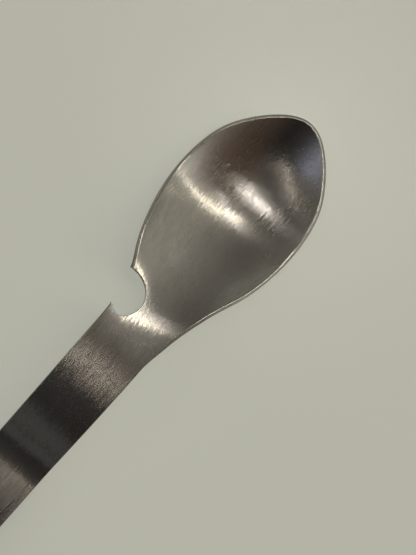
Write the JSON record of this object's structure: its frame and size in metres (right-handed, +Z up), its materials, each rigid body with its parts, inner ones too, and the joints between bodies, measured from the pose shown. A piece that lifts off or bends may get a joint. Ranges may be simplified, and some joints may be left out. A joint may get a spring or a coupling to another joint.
{
  "type": "multi-tool spork",
  "caption": "Stamped steel camp spoon with a cap opener notch in its neck, and a knife and a fork that fold against the back of its flat handle.",
  "frame": {"origin": "under the middle of the whole folded utensil, at the level that it lies on", "axes": "+X from the handle's tail to the bowl's tip, +Z up out of the open bowl, +Y towards the cap opener's side"},
  "size_m": [0.2052, 0.0418, 0.0178],
  "materials": {
    "spoon_steel": "brushed along the handle, soft sheen in the bowl",
    "plate_steel": "brushed along the handle",
    "spring_steel": "fine ground",
    "blade_steel": "satin, with ground bevels",
    "fork_steel": "brushed",
    "fastener_steel": "turned",
    "rivet_steel": "ground flush",
    "washer_bronze": "plain rolled"
  },
  "bodies": {
    "handle": {"spoon_body": "spoon_steel", "liner_plate": "plate_steel", "backspring": "spring_steel", "pivot_barrel": "fastener_steel", "pivot_screw": "fastener_steel", "dished_washer": "spring_steel", "blade_washer_lower": "washer_bronze", "blade_washer_upper": "washer_bronze", "fork_washer": "washer_bronze", "spring_rivet_front": "rivet_steel", "spring_rivet_middle": "rivet_steel", "spacer_rivet": "rivet_steel", "spacer_tube": "fastener_steel", "fork_stop_pin": "rivet_steel"},
    "knife": {"knife_blade": "blade_steel"},
    "fork": {"fork": "fork_steel"}
  },
  "joints": [
    {"name": "knife_pivot", "type": "hinge", "parent": "handle", "child": "knife", "pos_m": [-0.08825, 0, 0.00714], "axis": [0, 0, 1], "range_deg": [0, 180]},
    {"name": "fork_pivot", "type": "hinge", "parent": "handle", "child": "fork", "pos_m": [-0.08825, 0, 0.00375], "axis": [0, 0, -1], "range_deg": [0, 180]}
  ]
}
